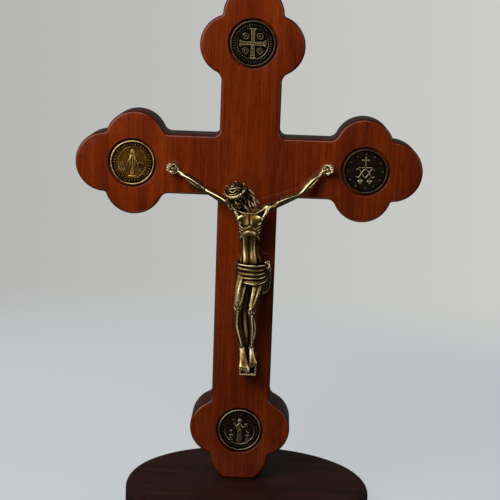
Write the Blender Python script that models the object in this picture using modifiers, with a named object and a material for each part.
"""Standing wooden crucifix: a budded cross with four cast medals, a cast corpus and an oval foot.

Units are metres, +Z is up. The origin is on the ground under the middle of the cross, and the
front looks along -Y. Everything on the board is drawn in the board's own face frame, which an
empty carries: x to the viewer's right, y up and z out of the front face, from the crossing.
"""
import math

import bmesh
import bpy
from mathutils import Euler, Matrix, Vector

# Oval foot
base_length = 0.1146
base_depth = 0.0950
base_height = 0.0180
base_top_round = 0.0044
base_bottom_round = 0.0010
base_shift_right = 0.0044

# Board
board_thickness = 0.0195
stem_width = 0.0270
front_face_y = 0.0
side_arm_length = 0.0526
top_arm_length = 0.0549
foot_arm_length = 0.1247
edge_round = 0.0022
crossing_fillet = 0.0030

# Buds, from the middle of each medal: two side lobes and an end lobe
side_lobe_radius = 0.0134
side_lobe_offset_length = 0.0100
side_lobe_setback_length = 0.0009
end_lobe_radius = 0.0136
end_lobe_offset_length = 0.0122
notch_fillet = 0.0012
neck_fillet = 0.0040
foot_flat_cut = 0.0018

# Medals and their recesses
medal_diameter = 0.0200
medal_thickness = 0.0019
medal_rim_width = 0.0009
medal_rim_height = 0.0006
medal_edge_break = 0.0002
relief_height = 0.0005
recess_side_gap = 0.0010
recess_depth = 0.0025

# Corpus: every part of the figure is a share of its height
figure_height = 0.0880
figure_triangles = 4150
hand_hole_clearance = 0.0003

# Round-headed pins in the hands
pin_diameter = 0.0011
pin_head_diameter = 0.0021
pin_head_height = 0.0009
pin_length_in_wood = 0.0060

piece_gap = 0.0003
cutter_overrun = 0.0020

unit = figure_height / 88
foot_end_length = foot_arm_length + end_lobe_offset_length + end_lobe_radius - foot_flat_cut
crossing_height = base_height + piece_gap + foot_end_length


def clear_scene():
    for item in list(bpy.data.objects):
        bpy.data.objects.remove(item)


def make_collection(name):
    group = bpy.data.collections.new(name)
    bpy.context.scene.collection.children.link(group)
    return group


clear_scene()
parts = make_collection("crucifix")
cutters = make_collection("cutters")


def make_material(name, colour, roughness, metallic=0.0):
    material = bpy.data.materials.new(name)
    material.use_nodes = True
    shader = material.node_tree.nodes["Principled BSDF"]
    shader.inputs["Base Color"].default_value = (*colour, 1.0)
    shader.inputs["Roughness"].default_value = roughness
    shader.inputs["Metallic"].default_value = metallic
    material.diffuse_color = (*colour, 1.0)
    return material


board_wood = make_material("stained_board_wood", (0.19, 0.035, 0.012), 0.38)
base_wood = make_material("dark_base_wood", (0.035, 0.014, 0.011), 0.35)
medal_metal = make_material("antique_brass_medal", (0.36, 0.28, 0.17), 0.38, 1.0)
corpus_metal = make_material("antique_brass_corpus", (0.40, 0.33, 0.21), 0.36, 1.0)


def add_object(name, data, group, parent=None):
    item = bpy.data.objects.new(name, data)
    group.objects.link(item)
    item.parent = parent
    return item


def mesh_object(name, build, group, parent=None, location=(0, 0, 0), material=None):
    """A mesh object whose shape the function build makes in an empty bmesh."""
    mesh = bpy.data.meshes.new(name)
    shape = bmesh.new()
    build(shape)
    shape.to_mesh(mesh)
    shape.free()
    item = add_object(name, mesh, group, parent)
    item.location = location
    if material:
        mesh.materials.append(material)
    return item


def mark_cutter(item):
    item.hide_render = True
    item.display_type = "WIRE"
    return item


def cylinder(name, radius, low, high, centre, sides, parent):
    """A cutter along the face frame's z, from low to high."""

    def build(shape):
        bmesh.ops.create_cone(
            shape, cap_ends=True, segments=sides, radius1=radius, radius2=radius, depth=high - low
        )

    place = (centre[0], centre[1], (low + high) / 2)
    return mark_cutter(mesh_object(name, build, cutters, parent, place))


def boolean(item, operation, other=None, group=None):
    step = item.modifiers.new(operation.lower(), "BOOLEAN")
    step.operation = operation
    step.solver = "EXACT"
    if group:
        step.operand_type = "COLLECTION"
        step.collection = group
    else:
        step.object = other


def bevel(item, width, segments, limit):
    step = item.modifiers.new("round", "BEVEL")
    step.width = width
    step.segments = segments
    step.limit_method = "ANGLE"
    step.angle_limit = limit
    step.harden_normals = False


def baked_mesh(item, name):
    """The object's evaluated shape as a mesh of its own, with a curve's loose caps closed."""
    bpy.context.view_layer.update()
    mesh = bpy.data.meshes.new_from_object(item.evaluated_get(bpy.context.evaluated_depsgraph_get()))
    mesh.name = name
    shape = bmesh.new()
    shape.from_mesh(mesh)
    bmesh.ops.remove_doubles(shape, verts=shape.verts, dist=1e-7)
    bmesh.ops.dissolve_limit(shape, angle_limit=0.002, verts=shape.verts, edges=shape.edges)
    bmesh.ops.recalc_face_normals(shape, faces=shape.faces)
    shape.to_mesh(mesh)
    shape.free()
    return mesh


def plate(name, outline, thickness, low, group, parent=None, material=None):
    """A flat plate: a closed outline in x and y, from z = low up by thickness."""
    curve = bpy.data.curves.new(name, "CURVE")
    curve.dimensions = "2D"
    curve.fill_mode = "BOTH"
    curve.extrude = thickness / 2
    spline = curve.splines.new("POLY")
    spline.points.add(len(outline) - 1)
    for point, (x, y) in zip(spline.points, outline):
        point.co = (x, y, 0, 1)
    spline.use_cyclic_u = True
    flat = add_object(name + "_outline", curve, group)
    mesh = baked_mesh(flat, name)
    bpy.data.objects.remove(flat)
    mesh.transform(Matrix.Translation((0, 0, low + thickness / 2)))
    if material:
        mesh.materials.append(material)
    return add_object(name, mesh, group, parent)


def shade_round(item, angle):
    item.data.shade_smooth()
    item.data.set_sharp_from_angle(angle=angle)


def arc(centre, radius, start, stop, steps):
    """Points along an arc, both ends included."""
    return [
        (
            centre[0] + radius * math.cos(start + (stop - start) * k / steps),
            centre[1] + radius * math.sin(start + (stop - start) * k / steps),
        )
        for k in range(steps + 1)
    ]


def heading(origin, target):
    return math.atan2(target[1] - origin[1], target[0] - origin[0])


def outer_meeting(first, first_radius, second, second_radius):
    """Where two circles meet, on the right of the way from the first to the second."""
    across = math.dist(first, second)
    along = (first_radius**2 - second_radius**2 + across**2) / (2 * across)
    aside = math.sqrt(first_radius**2 - along**2)
    ux, uy = (second[0] - first[0]) / across, (second[1] - first[1]) / across
    return (first[0] + along * ux + aside * uy, first[1] + along * uy - aside * ux)


def half_bud(tip_angle):
    """One half of a bud from its tip to the arm's edge, as (outward, across) from the medal."""
    half_width = stem_width / 2
    end_lobe = (end_lobe_offset_length, 0.0)
    side_lobe = (-side_lobe_setback_length, side_lobe_offset_length)
    notch = outer_meeting(
        end_lobe, end_lobe_radius + notch_fillet, side_lobe, side_lobe_radius + notch_fillet
    )
    neck_rise = side_lobe[1] - half_width - neck_fillet
    neck_run = math.sqrt((side_lobe_radius + neck_fillet) ** 2 - neck_rise**2)
    neck = (side_lobe[0] - neck_run, half_width + neck_fillet)
    turn = 2 * math.pi
    return (
        arc(end_lobe, end_lobe_radius, tip_angle, heading(end_lobe, notch), 5)
        + arc(notch, notch_fillet, heading(notch, end_lobe) + turn, heading(notch, side_lobe) + turn, 2)
        + arc(side_lobe, side_lobe_radius, heading(side_lobe, notch), heading(side_lobe, neck), 8)
        + arc(neck, neck_fillet, heading(neck, side_lobe), -math.pi / 2, 2)
    )


def board_outline():
    foot_angle = math.acos((end_lobe_radius - foot_flat_cut) / end_lobe_radius)
    corner = stem_width / 2 + crossing_fillet
    points = []
    for quarter, reach in enumerate((side_arm_length, top_arm_length, side_arm_length, foot_arm_length)):
        is_foot = quarter == 3
        half = half_bud(foot_angle if is_foot else 0.0)
        mirrored = [(out, -across) for out, across in reversed(half)]
        arm = [(out + reach, across) for out, across in (mirrored if is_foot else mirrored[:-1]) + half]
        arm += arc((corner, corner), crossing_fillet, -math.pi / 2, -math.pi, 2)
        cosine, sine = round(math.cos(quarter * math.pi / 2)), round(math.sin(quarter * math.pi / 2))
        points += [(out * cosine - across * sine, out * sine + across * cosine) for out, across in arm]
    return clean_outline(points)


def clean_outline(points):
    """The outline without points that repeat where two arcs touch."""
    kept = []
    for point in points:
        if not kept or math.dist(point, kept[-1]) > 1e-5:
            kept.append(point)
    return kept


def add_foot():
    def build(shape):
        bmesh.ops.create_cone(
            shape, cap_ends=True, segments=48, radius1=0.5, radius2=0.5, depth=base_height
        )
        bmesh.ops.scale(shape, vec=(base_length, base_depth, 1.0), verts=shape.verts)
        bmesh.ops.translate(shape, vec=(0, 0, base_height / 2), verts=shape.verts)
        for height, radius, steps in (
            (base_height, base_top_round, 4),
            (0.0, base_bottom_round, 1),
        ):
            rim = [
                edge for edge in shape.edges if all(abs(v.co.z - height) < 1e-6 for v in edge.verts)
            ]
            bmesh.ops.bevel(
                shape, geom=rim, offset=radius, segments=steps, profile=0.5, affect="EDGES"
            )

    foot = mesh_object("base", build, parts, None, (base_shift_right, 0, 0), base_wood)
    shade_round(foot, math.radians(35))
    return foot


def add_board(face):
    board = plate(
        "cross", board_outline(), board_thickness, -board_thickness, parts, face, board_wood
    )
    bevel(board, edge_round, 2, math.radians(40))
    return board


medal_places = {
    "medal_top": (0.0, top_arm_length),
    "medal_left": (-side_arm_length, 0.0),
    "medal_right": (side_arm_length, 0.0),
    "medal_bottom": (0.0, -foot_arm_length),
}
medal_radius = medal_diameter / 2
field_level = medal_thickness - medal_rim_height
field_radius = medal_radius - medal_rim_width
relief_share = medal_diameter / 0.020


def turned(name, profile, steps, group, parent, location, material):
    """A turned shape: its profile as (radius, height) from the top down, spun by a Screw."""
    mesh = bpy.data.meshes.new(name)
    mesh.from_pydata(
        [(radius, 0, height) for radius, height in profile],
        [(k, k + 1) for k in range(len(profile) - 1)],
        [],
    )
    item = add_object(name, mesh, group, parent)
    item.location = location
    mesh.materials.append(material)
    spin = item.modifiers.new("spin", "SCREW")
    spin.axis = "Z"
    spin.steps = steps
    spin.render_steps = steps
    spin.use_merge_vertices = True
    spin.merge_threshold = 1e-6
    return item


def shaped(points, centre=(0.0, 0.0)):
    """Outline points in millimetres of a 20 mm medal, turned into metres on this medal."""
    share = relief_share / 1000
    return [((centre[0] + x) * share, (centre[1] + y) * share) for x, y in points]


def both_sides(right_half):
    """A closed outline from its right half, which runs from the bottom up."""
    return right_half + [(-x, y) for x, y in reversed(right_half) if x > 0]


def round_outline(radius, sides):
    return arc((0.0, 0.0), radius, 0.0, 2 * math.pi * (sides - 1) / sides, sides - 1)


def flared_cross(across, up, middle, end):
    """A cross whose four arms widen to their ends."""
    quarter = [(middle, middle), (end, up), (-end, up), (-middle, middle)]
    return [
        (-middle, -middle),
        (-end, -up),
        (end, -up),
        (middle, -middle),
        (across, -end),
        (across, end),
    ] + quarter + [(-across, end), (-across, -end)]


def heart_outline():
    right_lobe = arc((0.75, 0.5), 0.8, -0.55, 2.6, 5)
    return both_sides([(0.0, -1.35)] + right_lobe + [(0.0, 0.55)])


def gown_outline():
    return both_sides([(2.7, -6.3), (2.1, -3.0), (1.5, 0.2), (1.7, 2.2), (1.0, 3.3)])


def ray_fan(side):
    """A fan from a lowered hand down to the ground line."""
    return [(side * 2.1, 0.6), (side * 3.0, 0.4), (side * 6.2, -3.6), (side * 4.0, -5.6)]


def top_relief():
    yield flared_cross(6.0, 6.9, 0.9, 1.5), (0, 0), 1.0
    for x in (-3.3, 3.3):
        for y in (-3.3, 3.3):
            yield round_outline(1.7, 12), (x, y), 0.8


def left_relief():
    yield gown_outline(), (0, 0), 1.0
    yield round_outline(1.25, 10), (0, 4.4), 0.9
    yield ray_fan(-1)[::-1], (0, 0), 0.6
    yield ray_fan(1), (0, 0), 0.6


def right_relief():
    yield flared_cross(2.6, 3.0, 0.5, 0.8), (0, 4.0), 1.0
    yield [(-4.0, -0.5), (4.0, -0.5), (4.0, 0.5), (-4.0, 0.5)], (0, 0.4), 0.9
    yield heart_outline(), (-2.2, -4.6), 1.0
    yield heart_outline(), (2.2, -4.6), 1.0
    for k in range(12):
        angle = math.pi * (2 * k + 1) / 12
        yield round_outline(0.6, 6), (7.6 * math.cos(angle), 7.6 * math.sin(angle)), 0.7


def bottom_relief():
    yield gown_outline(), (0, -0.2), 1.0
    yield round_outline(1.25, 10), (0, 4.3), 0.9
    yield flared_cross(1.0, 2.0, 0.3, 0.4), (-3.0, 2.6), 0.8
    yield [(-0.9, -1.1), (0.9, -1.1), (0.9, 1.1), (-0.9, 1.1)], (2.9, 1.8), 0.8
    for x in (-4.1, 4.1):
        yield [(-1.2, -1.6), (1.2, -1.6), (0.8, 1.4), (-0.8, 1.4)], (x, -3.6), 0.7


medal_reliefs = {
    "medal_top": top_relief,
    "medal_left": left_relief,
    "medal_right": right_relief,
    "medal_bottom": bottom_relief,
}


def add_medal(name, face, board):
    x, y = medal_places[name]
    recess = cylinder(
        name + "_recess",
        medal_radius + recess_side_gap,
        -recess_depth,
        cutter_overrun,
        (x, y),
        32,
        face,
    )
    boolean(board, "DIFFERENCE", recess)
    profile = [
        (0.0, field_level),
        (field_radius - medal_rim_height / 2, field_level),
        (field_radius, medal_thickness),
        (medal_radius - medal_edge_break, medal_thickness),
        (medal_radius, medal_thickness - medal_edge_break),
        (medal_radius, 0.0),
        (0.0, 0.0),
    ]
    seat = -recess_depth + piece_gap
    medal = turned(name, profile, 32, parts, face, (x, y, seat), medal_metal)
    relief = bpy.data.collections.new(name + "_relief")
    cutters.children.link(relief)
    for number, (outline, centre, share) in enumerate(medal_reliefs[name]()):
        rise = relief_height * share
        piece = plate(
            f"{name}_relief_{number}",
            shaped(outline, centre),
            field_level / 2 + rise,
            field_level / 2,
            relief,
            face,
        )
        piece.location = (x, y, seat)
        mark_cutter(piece)
    boolean(medal, "UNION", group=relief)
    shade_round(medal, math.radians(30))
    return medal


# The figure's forms in shares of a figure 88 units high, in the face frame, from the crossing.
# A limb is a row of (x, y, z, radius). A ball is its middle, its half sizes and its turn in degrees.
palms = {"nail_left_hand": (-34.0, -1.6, 2.1), "nail_right_hand": (35.6, 0.5, 2.1)}
hand_aims = {"nail_left_hand": 153, "nail_right_hand": 24}

arms = (
    # from the wrist to the shoulder
    ((-33.0, -2.0, 2.3, 1.1), (-31.0, -3.1, 2.6, 1.0), (-26.6, -5.7, 3.3, 1.7), (-23.0, -7.9, 4.0, 1.65),
     (-19.0, -10.3, 4.8, 1.3), (-13.2, -13.1, 6.2, 1.5), (-8.6, -15.4, 7.4, 1.8), (-3.5, -18.2, 8.2, 2.2)),
    ((34.6, -0.1, 2.3, 1.1), (32.9, -0.9, 2.6, 1.0), (29.6, -4.3, 3.3, 1.65), (27.2, -7.2, 4.0, 1.7),
     (24.2, -10.2, 4.8, 1.3), (17.2, -13.5, 6.2, 1.5), (11.6, -16.1, 7.6, 1.8), (6.5, -18.4, 8.4, 2.3)),
)
legs = (
    # from the hip to the ankle
    ((0.6, -43.5, 8.8, 3.2), (-0.8, -48.0, 10.4, 3.0), (-1.8, -55.0, 12.4, 2.5), (-2.2, -61.0, 13.5, 2.1),
     (-2.5, -64.0, 12.9, 1.8), (-2.6, -68.5, 11.4, 1.85), (-1.3, -76.0, 9.2, 1.35), (0.0, -82.6, 7.4, 1.2)),
    ((6.2, -43.5, 8.6, 3.3), (6.9, -48.0, 9.8, 3.15), (5.6, -56.0, 11.7, 2.5), (4.0, -63.0, 12.8, 1.95),
     (4.2, -66.2, 12.0, 1.65), (4.8, -71.0, 10.4, 1.6), (4.6, -77.6, 8.2, 1.2), (4.3, -82.4, 6.8, 1.2)),
)
webs = (
    # the casting's web behind and between the legs
    ((3.0, -48.0, 8.2, 2.8), (1.6, -57.0, 9.2, 2.7), (0.9, -64.0, 9.0, 2.8), (1.2, -71.0, 7.4, 2.5),
     (2.0, -78.0, 5.4, 2.0), (2.4, -86.0, 4.6, 1.8)),
)
trunk_lines = (
    # neck
    ((1.4, -18.2, 8.8, 2.3), (-0.4, -15.6, 10.2, 2.0), (-2.4, -12.6, 12.0, 2.0)),
    # edge of the ribs
    ((-2.4, -31.4, 9.2, 0.6), (-1.2, -29.0, 11.9, 0.6), (1.7, -27.3, 12.7, 0.6), (4.6, -29.0, 11.9, 0.6),
     (6.0, -31.4, 9.2, 0.6)),
    # upright muscles of the belly
    ((0.1, -30.6, 10.7, 1.1), (0.0, -36.0, 10.8, 1.2), (0.6, -44.0, 12.2, 1.3)),
    ((3.3, -30.6, 10.7, 1.1), (3.6, -36.0, 10.8, 1.2), (4.4, -44.0, 12.2, 1.3)),
    # flanks, from the armpits to the hips
    ((-2.1, -19.5, 8.4, 1.6), (-2.0, -25.0, 8.8, 1.5), (-1.0, -33.0, 8.2, 1.3), (-1.0, -41.0, 8.6, 1.7)),
    ((5.6, -19.5, 8.6, 1.7), (5.5, -25.0, 8.8, 1.5), (4.8, -33.0, 8.2, 1.3), (6.6, -41.0, 8.6, 1.8)),
    # fronts of the armpits
    ((-5.5, -17.5, 10.1, 1.0), (-4.3, -19.8, 10.7, 1.0), (-2.9, -22.2, 11.0, 0.9)),
    ((9.4, -17.5, 10.1, 1.0), (8.2, -19.8, 10.7, 1.0), (6.8, -22.2, 11.0, 0.9)),
)
balls = (
    # trunk: shoulders, chest, ribs, waist, belly, hips and the body of the cloth
    ((1.7, -18.6, 8.2), (6.2, 2.4, 3.1), (0, 0, 0)),
    ((1.7, -23.4, 8.5), (5.2, 6.0, 4.5), (0, 0, 0)),
    ((1.8, -29.0, 8.5), (4.6, 6.0, 4.1), (0, 0, 0)),
    ((2.0, -36.0, 8.0), (3.8, 7.4, 3.7), (0, 0, 0)),
    ((3.0, -44.0, 8.8), (5.7, 4.6, 4.8), (0, 0, 0)),
    ((3.6, -46.2, 9.2), (6.8, 4.7, 5.3), (0, 0, 4)),
    # chest muscles
    ((-1.2, -22.4, 11.3), (2.9, 2.3, 1.5), (0, 0, -12)),
    ((4.6, -22.4, 11.3), (2.9, 2.3, 1.5), (0, 0, 12)),
    # kneecaps
    ((-2.1, -60.9, 14.8), (1.1, 1.3, 0.8), (0, 0, 8)),
    ((3.8, -62.7, 14.0), (1.1, 1.3, 0.8), (0, 0, -8)),
)

# The head has a frame of its own: right, up and ahead, bowed, turned and leaned in degrees
head_middle = (-4.6, -10.4, 14.2)
head_share = 1.06
head_bow, head_turn, head_lean = 34, -16, 22
head_balls = (
    # skull, face, jaw, beard, brow and nose
    ((0.0, 0.9, -0.2), (3.3, 3.8, 3.9)),
    ((0.0, -0.9, 1.2), (2.6, 3.5, 2.5)),
    ((0.0, -2.9, 1.4), (1.8, 1.6, 1.9)),
    ((0.0, -3.9, 2.2), (1.9, 1.9, 1.5)),
    ((0.0, 0.9, 3.1), (2.0, 0.5, 0.8)),
    ((0.0, -0.6, 3.8), (0.5, 1.0, 0.9)),
)
footrest = {"middle": 3.05, "top": -88.8, "width": 7.5, "height": 6.0, "reach": 8.9}


def head_spin():
    return (
        Matrix.Rotation(math.radians(head_lean), 3, "Z")
        @ Matrix.Rotation(math.radians(head_bow), 3, "X")
        @ Matrix.Rotation(math.radians(head_turn), 3, "Y")
    )


def on_head(rows):
    """Rows of the head's frame, each (right, up, ahead, radius), in the figure's frame."""
    spin, middle = head_spin(), Vector(head_middle)
    return [
        (*(middle + spin @ Vector((right, up, ahead)) * head_share), radius * head_share)
        for right, up, ahead, radius in rows
    ]


def crown_rows():
    """The twisted crown as a ring round the head, a little lower at the back."""
    angles = [2 * math.pi * k / 12 for k in range(13)]
    return on_head(
        [(4.05 * math.sin(a), 2.15 + 0.35 * math.cos(a), 4.35 * math.cos(a) - 0.2, 0.8) for a in angles]
    )


def hair_rows(side, strand):
    """A strand from the middle parting over the skull, then down beside the face to the neck."""
    front = math.radians(40 - 30 * strand)
    rows = [
        (
            side * 3.5 * math.sin(sweep) * math.cos(front),
            0.9 + 4.0 * math.cos(sweep) * math.cos(front),
            -0.2 + 4.0 * math.sin(front),
            0.9,
        )
        for sweep in (0.1, 0.8, 1.4)
    ]
    out, back = max(2.7, 3.4 * math.cos(front * 0.8)), -0.2 + 3.4 * math.sin(front)
    for drop, wave in ((-1.6, 0.2), (-3.6, -0.3), (-5.4, 0.2)):
        rows.append((side * (out + wave), drop, back + 0.15 * drop, 0.95 + 0.06 * drop))
    return on_head(rows)


def lock_rows(number):
    """One of the locks that fan out from the head on to the right shoulder."""
    return [
        (-2.4 + 0.8 * number, -9.2 + 0.4 * number, 13.6 - 0.5 * number, 1.1),
        (0.2 + 1.0 * number, -12.0 + 0.6 * number, 13.2 - 0.5 * number, 1.0),
        (2.0 + 1.3 * number, -15.4 + 0.9 * number, 12.3 - 0.3 * number, 0.8),
        (2.6 + 1.5 * number, -17.4 + 1.0 * number, 11.7 - 0.3 * number, 0.5),
    ]


def hand_rows(name):
    """Four fingers curled forward and in over the palm, and the thumb."""
    x, y, z = palms[name]
    aim = math.radians(hand_aims[name])
    ahead = Vector((math.cos(aim), math.sin(aim)))
    over = Vector((-ahead.y, ahead.x)) * (1 if ahead.x > 0 else -1)

    def row(along, across, rise, radius):
        place = Vector((x, y)) + ahead * along + over * across
        return (place.x, place.y, z + rise, radius)

    for number, share in enumerate((1.0, 1.12, 1.08, 0.9)):
        across = 1.6 - 1.05 * number
        knuckle, tip = row(2.1 * share, across, 1.0, 0.58), row(2.2 * share, across, 2.2, 0.52)
        yield row(1.0, across, 0.3, 0.6), knuckle, tip
    yield row(-1.2, 1.5, 0.6, 0.7), row(-0.2, 2.3, 1.3, 0.6), row(1.0, 2.0, 2.1, 0.5)


def foot_rows(ankle, toes, spread, share):
    """A foot as five rays that run from the ankle to the toes and widen on the way."""
    for number in range(5):
        across = (number - 2) / 4 * spread
        start = Vector(ankle) + Vector((across * 0.12, 0.3, 0.0))
        middle = Vector(ankle).lerp(Vector(toes), 0.5) + Vector((across * 0.42, 0.0, 0.25))
        root = Vector(toes) + Vector((across * 0.92, 0.4, 0.0))
        tip = Vector(toes) + Vector((across, -1.4, 0.1))
        yield (*start, 1.15 * share), (*middle, 0.95 * share), (*root, 0.75 * share), (*tip, 0.55 * share)


def fold_rows(number):
    """A fold round the hips, which hangs from the left one and gathers at the right one.

    Fold 0 is the rolled upper edge. The ends run back round the sides towards the board.
    """
    left_y, right_y = -42.0 - 1.3 * number, -41.9 - 0.8 * number
    sag = 0.5 + 1.0 * number
    rows = []
    for k in range(7):
        share = k / 6
        angle = math.radians(-30 + 240 * share)
        y = left_y + (right_y - left_y) * share - sag * math.sin(math.pi * share**1.2)
        rows.append((3.2 - 7.0 * math.cos(angle), y, 8.8 + 5.3 * math.sin(angle), 0.6 + 0.2 * share))
    return rows


def all_limbs():
    yield from arms + legs + webs + trunk_lines
    yield crown_rows()
    for strand in range(4):
        yield hair_rows(-1, strand)
        yield hair_rows(1, strand)
    yield from (lock_rows(number) for number in range(4))
    for name in palms:
        yield from hand_rows(name)
    yield from foot_rows((4.3, -82.6, 6.8), (5.9, -89.2, 9.4), 3.2, 0.9)
    yield from foot_rows((0.1, -83.0, 7.4), (1.6, -90.9, 11.4), 4.3, 1.0)
    yield from (fold_rows(number) for number in range(5))
    # the cloth's loose end at the hip
    yield (10.1, -42.4, 7.6, 1.2), (10.9, -46.5, 7.6, 1.4), (10.6, -51.0, 7.4, 1.4), (9.8, -55.4, 7.2, 1.0)


def limb_mesh(name, rows):
    """A tube through the rows, each with its own radius."""
    curve = bpy.data.curves.new(name, "CURVE")
    curve.dimensions = "3D"
    curve.bevel_depth = unit
    curve.bevel_resolution = 3
    curve.use_fill_caps = True
    spline = curve.splines.new("BEZIER")
    spline.resolution_u = 4
    spline.bezier_points.add(len(rows) - 1)
    for point, (x, y, z, radius) in zip(spline.bezier_points, rows):
        point.co = (x * unit, y * unit, z * unit)
        point.radius = radius
        point.handle_left_type = point.handle_right_type = "AUTO"
    tube = add_object(name, curve, cutters)
    mesh = baked_mesh(tube, name)
    bpy.data.objects.remove(tube)
    return mesh


def add_ball(shape, middle, sizes, turn=None):
    """An egg in the figure's frame; its turn is a 3 by 3 rotation."""
    place = (
        Matrix.Translation(Vector(middle) * unit)
        @ (turn or Matrix.Identity(3)).to_4x4()
        @ Matrix.Diagonal((*(size * unit for size in sizes), 1.0))
    )
    bmesh.ops.create_icosphere(shape, subdivisions=3, radius=1.0, matrix=place)


def build_figure(shape):
    """Every form of the figure, still one over another."""
    for number, rows in enumerate(all_limbs()):
        shape.from_mesh(limb_mesh(f"limb_{number}", rows))
        for x, y, z, radius in (rows[0], rows[-1]):
            add_ball(shape, (x, y, z), (radius, radius, radius))
    for middle, sizes, turn in balls:
        add_ball(shape, middle, sizes, Euler([math.radians(angle) for angle in turn]).to_matrix())
    for middle, sizes in head_balls:
        x, y, z, share = on_head([(*middle, 1.0)])[0]
        add_ball(shape, (x, y, z), [size * share for size in sizes], head_spin())
    for name, palm in palms.items():
        add_ball(shape, palm, (2.4, 2.2, 1.2), Matrix.Rotation(math.radians(hand_aims[name]), 3, "Z"))
    middle = Vector((footrest["middle"], footrest["top"] - footrest["height"] / 2, footrest["reach"] / 2))
    sizes = Vector((footrest["width"], footrest["height"], footrest["reach"])) * unit
    rest = Matrix.Translation(middle * unit) @ Matrix.Diagonal((*sizes, 1.0))
    bmesh.ops.create_cube(shape, size=1.0, matrix=rest)


def add_corpus(face):
    corpus = mesh_object("corpus", build_figure, parts, face, (0, 0, 0), corpus_metal)
    merge = corpus.modifiers.new("cast_as_one", "REMESH")
    merge.mode = "VOXEL"
    merge.voxel_size = 0.34 * unit
    soften = corpus.modifiers.new("soften", "SMOOTH")
    soften.factor = 0.5
    soften.iterations = 3
    bpy.context.view_layer.update()
    fine = corpus.evaluated_get(bpy.context.evaluated_depsgraph_get())
    fine_triangles = 2 * len(fine.data.polygons)
    thin = corpus.modifiers.new("thin_out", "DECIMATE")
    thin.ratio = min(1.0, figure_triangles / fine_triangles)
    thin.use_collapse_triangulate = True

    def build_back(shape):
        size = 3 * figure_height
        bmesh.ops.create_cube(
            shape, size=size, matrix=Matrix.Translation((0, -figure_height / 2, piece_gap - size / 2))
        )

    back = mark_cutter(mesh_object("board_side", build_back, cutters, face))
    boolean(corpus, "DIFFERENCE", back)
    corpus.data.shade_smooth()
    return corpus


def add_pin(name, palm, face, board, corpus):
    """A round-headed pin: its shank goes through the hand into a blind hole in the wood."""
    x, y = palm[0] * unit, palm[1] * unit
    palm_top = (palm[2] + 1.2) * unit
    head_radius = pin_head_diameter / 2
    shank_radius = pin_diameter / 2
    head_low = palm_top + piece_gap
    dome = arc((0.0, 0.0), 1.0, math.pi / 2, 0.0, 3)
    profile = [(head_radius * out, head_low + pin_head_height * up) for out, up in dome]
    profile[0] = (0.0, head_low + pin_head_height)
    profile += [(shank_radius, head_low), (shank_radius, -pin_length_in_wood), (0.0, -pin_length_in_wood)]
    pin = turned(name, profile, 10, parts, face, (x, y, 0), corpus_metal)
    hole = cylinder(
        name + "_hole",
        shank_radius + hand_hole_clearance,
        -pin_length_in_wood - piece_gap,
        head_low + cutter_overrun,
        (x, y),
        10,
        face,
    )
    boolean(board, "DIFFERENCE", hole)
    boolean(corpus, "DIFFERENCE", hole)
    shade_round(pin, math.radians(40))


def build_all():
    face = add_object("board_face", None, parts)
    face.location = (0, front_face_y, crossing_height)
    face.rotation_euler = (math.pi / 2, 0, 0)
    add_foot()
    board = add_board(face)
    for name in medal_places:
        add_medal(name, face, board)
    corpus = add_corpus(face)
    for name, palm in palms.items():
        add_pin(name, palm, face, board, corpus)
    shade_round(board, math.radians(35))


build_all()
